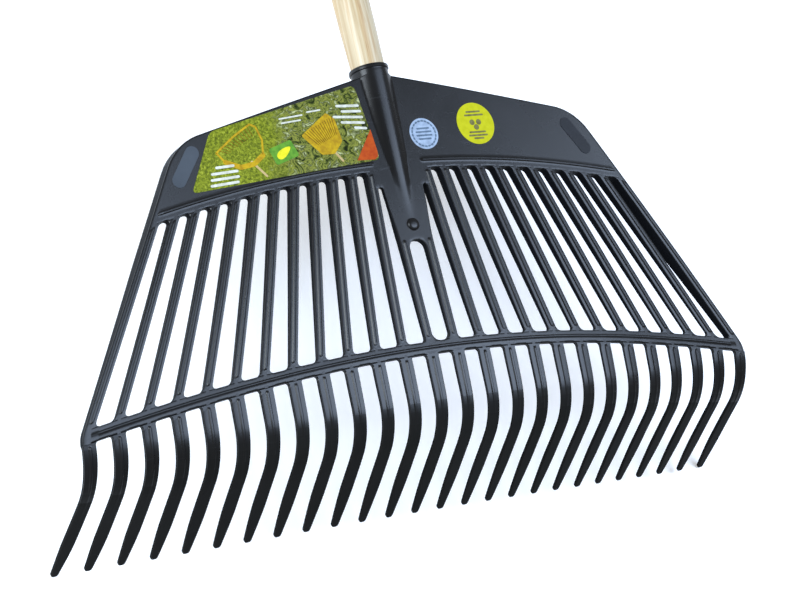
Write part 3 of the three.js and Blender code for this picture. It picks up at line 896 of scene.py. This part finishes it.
class Material:
    """A node material, built up by short calls."""

    def __init__(self, name, **sockets):
        self.material = bpy.data.materials.new(name)
        self.material.use_nodes = True
        self.tree = self.material.node_tree
        self.shader = self.tree.nodes["Principled BSDF"]
        for key, value in sockets.items():
            self.shader.inputs[key.replace("_", " ")].default_value = value
        self.place = self.node("ShaderNodeTexCoord").outputs["Object"]

    def node(self, kind, **values):
        made = self.tree.nodes.new(kind)
        for key, value in values.items():
            if hasattr(made, key):
                setattr(made, key, value)
            else:
                self.join(value, made.inputs[key.replace("_", " ")])
        return made

    def join(self, value, socket):
        if isinstance(value, bpy.types.NodeSocket):
            self.tree.links.new(value, socket)
        else:
            socket.default_value = value

    def set(self, name, value):
        self.join(value, self.shader.inputs[name])

    def scaled(self, x, y, z):
        return self.node("ShaderNodeMapping", Vector=self.place, Scale=(x, y, z)).outputs[0]

    def noise(self, scale, detail, rough=0.55, vector=None, distortion=0.0):
        made = self.node(
            "ShaderNodeTexNoise",
            Vector=vector or self.place,
            Scale=scale,
            Detail=detail,
            Roughness=rough,
            Distortion=distortion,
        )
        return made.outputs["Fac"]

    def ramp(self, value, *stops):
        made = self.node("ShaderNodeValToRGB", Fac=value)
        points = made.color_ramp.elements
        while len(points) < len(stops):
            points.new(0.5)
        for point, (position, colour) in zip(points, stops):
            if not isinstance(colour, tuple):
                colour = (colour, colour, colour)
            point.position, point.color = position, (*colour, 1)
        return made.outputs["Color"]

    def math(self, operation, a, b):
        made = self.node("ShaderNodeMath", operation=operation)
        self.join(a, made.inputs[0])
        self.join(b, made.inputs[1])
        return made.outputs[0]

    def blend(self, factor, a, b, how="MIX"):
        made = self.node("ShaderNodeMix", data_type="RGBA", blend_type=how)
        self.join(factor, made.inputs["Factor"])
        for name, value in (("A", a), ("B", b)):
            socket = [s for s in made.inputs if s.name == name and s.type == "RGBA"][0]
            self.join((*value, 1) if isinstance(value, tuple) else value, socket)
        return [s for s in made.outputs if s.type == "RGBA"][0]

    def bump(self, height, distance, strength):
        made = self.node("ShaderNodeBump", Height=height, Distance=distance, Strength=strength)
        self.set("Normal", made.outputs[0])


def plastic_material(name, dark, light, rough, grain, spec):
    """Moulded black plastic: slight clouding, fine grain and faint handling marks."""
    m = Material(name, Specular_IOR_Level=spec)
    cloud = m.noise(14, 5)
    fine = m.noise(900, 3, 0.6)
    scuffs = m.noise(1, 6, 0.7, m.scaled(60, 260, 60), 0.6)
    marks = m.ramp(scuffs, (0.60, 0.0), (0.74, 1.0))
    tone = m.ramp(cloud, (0.35, dark), (0.7, light))
    m.set("Base Color", m.blend(m.math("MULTIPLY", marks, 0.12), tone, (0.05, 0.053, 0.06)))
    spread = m.math("MULTIPLY", m.math("SUBTRACT", cloud, 0.5), 0.16)
    gloss = m.math("ADD", m.math("ADD", spread, rough), m.math("MULTIPLY", marks, 0.1))
    m.set("Roughness", gloss)
    height = m.math("ADD", m.math("MULTIPLY", fine, 0.5), m.math("MULTIPLY", cloud, 2.0))
    m.bump(height, grain, 0.5)
    return m.material


def wood_material():
    """Pale turned wood with straight golden grain under thin varnish."""
    m = Material("turned_wood", Coat_Weight=0.25, Coat_Roughness=0.25)
    lines = m.noise(1, 5, 0.6, m.scaled(420, 3.2, 420), 0.25)
    rings = m.noise(1, 3, 0.5, m.scaled(95, 0.9, 95), 1.2)
    pores = m.noise(1, 2, 0.5, m.scaled(1500, 26, 1500))
    tone = m.ramp(
        rings,
        (0.30, (0.44, 0.345, 0.20)),
        (0.48, (0.48, 0.40, 0.26)),
        (0.58, (0.41, 0.29, 0.145)),
        (0.72, (0.475, 0.385, 0.235)),
    )
    streaks = m.ramp(lines, (0.36, (0.62, 0.44, 0.24)), (0.56, (1.0, 1.0, 1.0)))
    colour = m.blend(0.55, tone, streaks, "MULTIPLY")
    dots = m.ramp(pores, (0.28, (0.55, 0.38, 0.2)), (0.36, (1.0, 1.0, 1.0)))
    m.set("Base Color", m.blend(0.5, colour, dots, "MULTIPLY"))
    m.set("Roughness", m.ramp(lines, (0.3, 0.55), (0.7, 0.4)))
    m.bump(m.math("ADD", lines, m.math("MULTIPLY", pores, 0.6)), 0.00012, 0.5)
    return m.material


def steel_material():
    m = Material("zinc_steel", Metallic=1.0)
    spots = m.noise(700, 5, 0.65)
    m.set("Base Color", m.ramp(spots, (0.3, (0.46, 0.46, 0.45)), (0.7, (0.66, 0.66, 0.68))))
    m.set("Roughness", m.ramp(spots, (0.3, 0.42), (0.7, 0.26)))
    m.bump(spots, 0.00005, 0.6)
    return m.material


def print_material(name, colour, other):
    """Printed film: a slightly uneven ink under a clear surface."""
    m = Material(name, Specular_IOR_Level=0.04)
    uneven = m.noise(260, 4, 0.6)
    m.set("Base Color", m.ramp(uneven, (0.35, other), (0.62, colour)))
    m.set("Roughness", m.ramp(uneven, (0.3, 0.42), (0.7, 0.32)))
    m.bump(m.noise(120, 3), 0.00008, 0.35)
    return m.material


def grass_material():
    """A printed picture of a lawn strewn with leaves: yellow-green to dark, with pale flecks."""
    m = Material("printed_lawn", Specular_IOR_Level=0.04)
    blades = m.noise(520, 5, 0.75, None, 0.5)
    clumps = m.noise(150, 4, 0.65, None, 1.2)
    patches = m.noise(22, 3, 0.5)
    lawn = m.ramp(
        blades,
        (0.32, (0.024, 0.032, 0.003)),
        (0.44, (0.085, 0.105, 0.007)),
        (0.56, (0.17, 0.195, 0.012)),
        (0.70, (0.34, 0.36, 0.045)),
    )
    leaves = m.ramp(
        clumps,
        (0.34, (0.008, 0.012, 0.003)),
        (0.43, (0.040, 0.054, 0.009)),
        (0.50, (0.19, 0.20, 0.035)),
        (0.56, (0.024, 0.032, 0.008)),
        (0.66, (0.36, 0.38, 0.17)),
    )
    split = m.node("ShaderNodeSeparateXYZ", Vector=m.place)
    across = m.math("MULTIPLY", m.math("ADD", split.outputs[0], 0.118), 26)
    towards = m.math("ADD", across, m.math("MULTIPLY", m.math("SUBTRACT", patches, 0.5), 1.6))
    m.set("Base Color", m.blend(m.ramp(towards, (0.25, 0.0), (0.75, 1.0)), lawn, leaves))
    m.set("Roughness", m.ramp(patches, (0.3, 0.34), (0.7, 0.24)))
    m.bump(m.noise(90, 3), 0.00008, 0.35)
    return m.material


# ---- Pieces ----

# The moulding's surfaces: name, darker and lighter tone, roughness, grain height, specular level.
# Painted shade: away from the crossbar the tines take three shaded copies of the black plastic,
# each reflecting less, so that their lower parts look dark.
PLASTICS = (
    ("black", (0.0035, 0.0035, 0.0036), (0.0060, 0.0060, 0.0062), 0.275, 0.000025, 0.24),
    ("frosted", (0.030, 0.036, 0.044), (0.052, 0.062, 0.075), 0.6, 0.0002, 0.12),
    ("stippled", (0.004, 0.004, 0.005), (0.016, 0.018, 0.022), 0.42, 0.0006, 0.14),
    ("light_shade", (0.0055, 0.0055, 0.0053), (0.0080, 0.0080, 0.0077), 0.32, 0.00006, 0.15),
    ("mid_shade", (0.0075, 0.0074, 0.0070), (0.0105, 0.0104, 0.0100), 0.37, 0.00006, 0.075),
    ("deep_shade", (0.0100, 0.0098, 0.0092), (0.0135, 0.0133, 0.0125), 0.42, 0.00006, 0.012),
    # Painted shade: a darker, bluish copy for the walls between the two skins, which hardly
    # reflects.
    ("shaded_wall", (0.0030, 0.0036, 0.0050), (0.0042, 0.0050, 0.0068), 0.42, 0.00006, 0.012),
)
FROSTED, STIPPLED, LIGHT_SHADE, MID_SHADE, DEEP_SHADE, SHADED_WALL = range(1, 7)
# Shares of a tine where the painted shade steps darker.
SHADE_STEPS = ((0.23, LIGHT_SHADE), (0.28, MID_SHADE), (0.345, DEEP_SHADE))  # shares of a tine where its gloss changes


def head_nodes():
    fixed = ("socket", "tongue", "wing_left", "wing_right", "rail_left", "rail_right", "crossbar")
    repeated = [n for n in frame["nodes"] if n.startswith(("bar_", "tine_"))]
    return [*fixed, *sorted(repeated)]


def make_head():
    shell = Solid(head_mesh(), socket_shell(), dome_shell())
    left = stadium((-163.5, 162), (-178, 142.5), 5.6)
    right = stadium((163, 160), (176, 140), 5.6)
    shell.add(*laid_solid(left, -0.6, 0.35, 8, 0.35), FROSTED)
    shell.add(*laid_solid(right, -0.6, 0.35, 8, 0.35), STIPPLED)
    plastics = [plastic_material(name + "_plastic", *look) for name, *look in PLASTICS]
    shell.build("head_moulding", "black_plastic", head_nodes(), *plastics, weighted=True)


def p(*pairs):
    """Points given in tine pitches, with y counted towards the handle, as millimetres."""
    return [(x * PITCH, y * PITCH) for x, y in pairs]


def ink(shell, outline, material, layer=1):
    """A raised patch of ink, on the film or on the layers below it."""
    face = FILM_FACE + INK * layer
    shell.add(*laid_solid(anticlockwise(outline), face - INK, face, 10), material)


# The picture's inks: name, main tone and uneven tone.
INKS = (
    ("red", (0.36, 0.060, 0.008), (0.29, 0.038, 0.007)),
    ("yellow", (0.40, 0.26, 0.009), (0.27, 0.16, 0.008)),
    ("ochre", (0.17, 0.10, 0.005), (0.11, 0.06, 0.004)),
    ("cream", (0.42, 0.32, 0.15), (0.32, 0.22, 0.09)),
    ("green", (0.10, 0.24, 0.025), (0.06, 0.17, 0.018)),
    ("lemon", (0.60, 0.56, 0.02), (0.48, 0.44, 0.012)),
    ("white", (0.52, 0.52, 0.46), (0.38, 0.38, 0.31)),
)
RED, YELLOW, OCHRE, CREAM, GREEN, LEMON, WHITE = range(1, 8)


def make_picture_label():
    """Generic art: a fan rake and a leaf tray on a lawn, a badge with a leaf, and plain bars."""
    film = rounded(p((-0.91, 9.01), (-6.51, 7.85), (-7.57, 5.86), (-0.61, 6.34)), 5)
    shell = Solid(laid_solid(film, FILM_FOOT, FILM_FACE, 8))
    # the red corner
    corner = p((-0.70, 7.42), (-1.47, 6.38), (-0.80, 6.36), (-0.66, 6.46), (-0.64, 6.62))
    ink(shell, corner, RED)
    # the fan rake and its handle
    ink(shell, stadium(*p((-2.5, 7.15), (-2.0, 6.42)), 0.9, 4), CREAM)
    fan = p((-2.22, 8.12), (-3.3, 7.41), (-2.71, 6.69), (-2.23, 6.68), (-1.85, 7.1), (-1.94, 7.89))
    ink(shell, rounded(fan, 1.5), YELLOW, 2)
    for n in range(13):
        t = (n + 0.5) / 13
        top = mix(np.array([-3.2, 7.46]), np.array([-2.0, 8.0]), t)
        foot = mix(np.array([-2.78, 7.02]), np.array([-1.98, 7.36]), t)
        ink(shell, stadium(*p(top, foot), 0.28, 3), OCHRE, 3)
    # the leaf tray: a thin bent rim, prongs along its far side and a broad near side
    tray = p((-5.05, 7.97), (-5.7, 7.62), (-6.44, 7.11), (-6.2, 6.78), (-5.69, 6.55))
    tray += p((-5.2, 6.62), (-4.82, 6.89), (-4.74, 7.4), (-4.86, 7.86))
    for n, (a, b) in enumerate(zip(tray, tray[1:] + tray[:1])):
        ink(shell, stadium(a, b, 1.9 if n in (3, 4, 5) else 0.75, 4), YELLOW, 2)
    for n in range(11):
        t = (n + 0.5) / 11
        far = mix(np.array([-5.1, 7.93]), np.array([-6.38, 7.14]), t)
        near = far + mix(np.array([0.12, -0.34]), np.array([0.3, -0.1]), t)
        ink(shell, stadium(*p(far, near), 0.22, 3), OCHRE, 3)
    ink(shell, stadium(*p((-5.27, 6.7), (-4.85, 6.17)), 0.9, 4), CREAM)
    # the badge with its leaf
    badge = p((-4.59, 7.06), (-3.73, 7.32), (-3.53, 6.75), (-4.41, 6.49))
    ink(shell, rounded(badge, 2), GREEN, 2)
    leaf = []
    for t in full_turn(24):
        u, v = 7.0 * math.cos(t), 3.0 * math.sin(t) * (1 - 0.35 * math.cos(t))
        leaf.append((-4.06 * PITCH + u * 0.83 - v * 0.56, 6.9 * PITCH + u * 0.56 + v * 0.83))
    ink(shell, leaf, LEMON, 3)
    # plain bars where small print would be
    right = ((-1.75, 8.32), (-0.95, 8.28)), ((-1.6, 8.12), (-0.92, 8.08))
    right += ((-1.95, 7.95), (-0.9, 7.87)), ((-1.7, 7.74), (-0.88, 7.67))
    right += (((-1.25, 7.52), (-0.85, 7.47)),)
    left = ((-6.55, 6.62), (-5.95, 6.64)), ((-6.75, 6.42), (-5.85, 6.45))
    left += ((-6.8, 6.22), (-5.85, 6.26)), ((-6.85, 6.03), (-5.9, 6.08))
    small = ((-3.95, 8.05), (-3.1, 8.12)), ((-3.9, 7.9), (-3.2, 7.95)), ((-2.9, 8.2), (-2.4, 8.24))
    for half, rows in ((1.0, right + left), (0.6, small)):
        for row in rows:
            ink(shell, stadium(*p(*row), half, 3), WHITE, 3)
    inks = [print_material(name + "_ink", *tones) for name, *tones in INKS]
    nodes = ["picture_label"]
    shell.build("picture_label_print", "picture_film", nodes, grass_material(), *inks)


def make_round_label(node, slot_name, centre, radius, marks, *materials):
    shell = Solid(laid_solid(circle(*centre, radius), FILM_FOOT, FILM_FACE, 8))
    for outline in marks(*centre):
        ink(shell, outline, 1)
    shell.build(node + "_print", slot_name, [node], *materials)


def plain_bars(x, y, half, *bars):
    return [stadium((x + a, y + h), (x + b, y + h), half, 3) for a, h, b in bars]


def yellow_marks(x, y):
    """A small three-dot sign between short plain bars."""
    bars = ((-6, 9.5, 6), (-8, 6.8, 8), (-7, -7, 7), (-8, -9.6, 8), (-4, -12, 4))
    dots = [circle(x + dx, y + dy, 2.3, 20) for dx, dy in ((-3, 1), (3, 1), (0, -3))]
    return plain_bars(x, y, 0.75, *bars) + dots


def silver_marks(x, y):
    """A ring of dashes round a few plain bars."""
    dashes = []
    for a in full_turn(22):
        ends = [(x + 10.2 * math.cos(t), y + 10.2 * math.sin(t)) for t in (a, a + 0.13)]
        dashes.append(stadium(*ends, 0.7, 3))
    bars = ((-5, 4.2, 5), (-6.5, 1.4, 6.5), (-6.5, -1.4, 6.5), (-5, -4.2, 5))
    return dashes + plain_bars(x, y, 0.7, *bars)


def make_labels():
    make_picture_label()
    yellow = print_material("yellow_film", (0.42, 0.41, 0.010), (0.37, 0.36, 0.006))
    grey = print_material("grey_ink", (0.16, 0.15, 0.05), (0.10, 0.09, 0.03))
    silver = print_material("silver_film", (0.29, 0.36, 0.46), (0.20, 0.25, 0.33))
    slate = print_material("slate_ink", (0.10, 0.14, 0.19), (0.07, 0.10, 0.14))
    at = (78.2, 165.2)
    make_round_label("yellow_label", "yellow_film", at, 16.8, yellow_marks, yellow, grey)
    at = (29.6, 160.1)
    make_round_label("silver_label", "silver_film", at, 12.4, silver_marks, silver, slate)


# ---- Camera, floor and light ----

CAMERA_AT = np.array([-1038.1, -383.1, 1654.8])
CAMERA_AIM = np.array([-27.24, 33.65, 0.0])
CAMERA_ROLL = math.radians(-14.25)
CAMERA_LENS = 121.52
FLOOR_HALF = 30


def make_camera():
    data = bpy.data.cameras.new("camera")
    data.lens, data.sensor_width = CAMERA_LENS, 36
    camera = bpy.data.objects.new("camera", data)
    bpy.context.collection.objects.link(camera)
    at, aim = Vector(to_row(CAMERA_AT)), Vector(to_row(CAMERA_AIM))
    look = (aim - at).normalized()
    right = look.cross(Vector(along)).normalized()
    up = right.cross(look)
    c, s = math.cos(CAMERA_ROLL), math.sin(CAMERA_ROLL)
    x_axis, y_axis = right * c + up * s, up * c - right * s
    matrix = Matrix((x_axis, y_axis, -look)).transposed().to_4x4()
    matrix.translation = at
    camera.matrix_world = matrix
    bpy.context.scene.camera = camera


def make_floor():
    mesh = bpy.data.meshes.new("floor")
    corners = [(x * FLOOR_HALF, y * FLOOR_HALF, 0) for x, y in ((-1, -1), (1, -1), (1, 1), (-1, 1))]
    mesh.from_pydata(corners, [], [(0, 1, 2, 3)])
    floor = bpy.data.objects.new("floor", mesh)
    bpy.context.collection.objects.link(floor)
    m = Material(
        "pale_floor",
        Roughness=0.9,
        Specular_IOR_Level=0.1,
        Emission_Color=(1, 1, 1, 1),
        Emission_Strength=0.3,
    )
    m.set("Base Color", m.ramp(m.noise(3, 2), (0.3, (0.80, 0.80, 0.80)), (0.7, (0.82, 0.82, 0.82))))
    mesh.materials.append(m.material)


def add_area(name, offset, size, power, colour):
    """A soft rectangular light, placed from the head and aimed at it, in metres and watts."""
    aim = Vector(to_row([0, 60, 0]))
    at = aim + Vector(offset)
    data = bpy.data.lights.new(name, "AREA")
    data.shape, data.energy, data.color = "RECTANGLE", power, colour
    data.size, data.size_y = size
    light = bpy.data.objects.new(name, data)
    bpy.context.collection.objects.link(light)
    light.location = at
    light.rotation_mode = "QUATERNION"
    light.rotation_quaternion = (aim - at).to_track_quat("-Z", "Y")


def make_light():
    world = bpy.data.worlds.new("studio")
    world.use_nodes = True
    background = world.node_tree.nodes["Background"]
    background.inputs["Color"].default_value = (0.97, 0.985, 1.0, 1)
    background.inputs["Strength"].default_value = 0.4
    bpy.context.scene.world = world
    add_area("left_key", (-1.05, 0.30, 0.52), (0.65, 0.65), 21, (0.80, 0.90, 1.0))
    add_area("sheen", (1.6, 0.1, 3.1), (1.6, 3.0), 185, (0.62, 0.76, 1.0))
    bpy.context.scene.view_settings.view_transform = "Standard"


make_camera()
make_floor()
make_light()
make_head()
make_labels()
Solid(handle_shell()).build("handle_stick", "wood", ["handle"], wood_material())
Solid(screw_shell()).build("pan_head_screw", "screw_steel", ["handle_screw"], steel_material())
